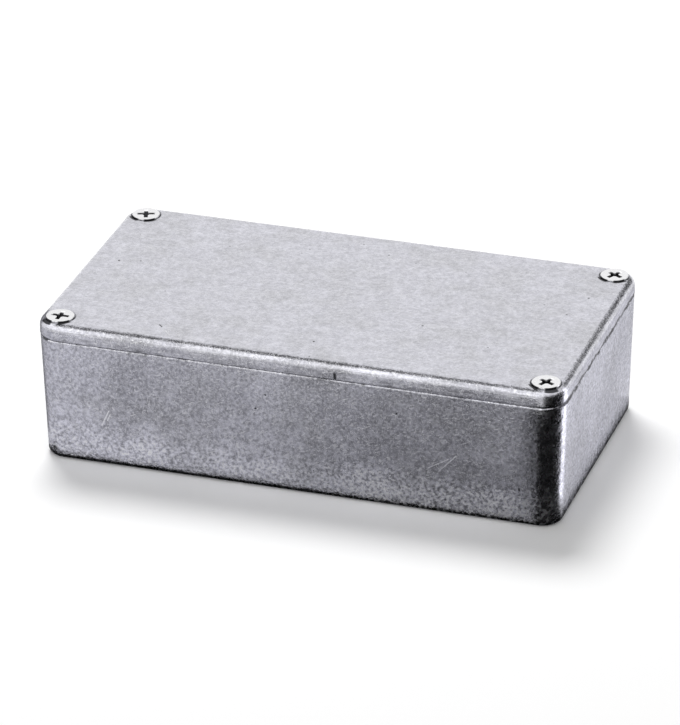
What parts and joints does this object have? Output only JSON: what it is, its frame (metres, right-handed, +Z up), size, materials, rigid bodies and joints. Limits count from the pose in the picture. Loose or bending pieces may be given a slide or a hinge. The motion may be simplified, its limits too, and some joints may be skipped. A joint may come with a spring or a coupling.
{
  "type": "die cast aluminium box",
  "caption": "Small die cast aluminium enclosure: a drafted tray with corner screw bosses and a rounded lid held by countersunk screws.",
  "frame": {"origin": "middle of the underside", "axes": "+X along the length, -Y towards the front face, +Z up through the lid"},
  "size_m": [0.1124, 0.0604, 0.0312],
  "materials": {
    "casting": "bare tumbled die casting, satin grey with fine scratches",
    "screw": "bright zinc plate"
  },
  "bodies": {
    "base": {"base": "casting"},
    "lid": {"lid": "casting"},
    "screw_front_left": {"screw_front_left": "screw"},
    "screw_front_right": {"screw_front_right": "screw"},
    "screw_back_left": {"screw_back_left": "screw"},
    "screw_back_right": {"screw_back_right": "screw"}
  },
  "joints": [
    {"name": "lid_lift", "type": "slide", "parent": "base", "child": "lid", "axis": [0, 0, 1], "range_m": [0, 0.06]},
    {"name": "screw_front_left_undo", "type": "slide", "parent": "lid", "child": "screw_front_left", "axis": [0, 0, 1], "range_m": [0, 0.014]},
    {"name": "screw_front_right_undo", "type": "slide", "parent": "lid", "child": "screw_front_right", "axis": [0, 0, 1], "range_m": [0, 0.014]},
    {"name": "screw_back_left_undo", "type": "slide", "parent": "lid", "child": "screw_back_left", "axis": [0, 0, 1], "range_m": [0, 0.014]},
    {"name": "screw_back_right_undo", "type": "slide", "parent": "lid", "child": "screw_back_right", "axis": [0, 0, 1], "range_m": [0, 0.014]}
  ]
}
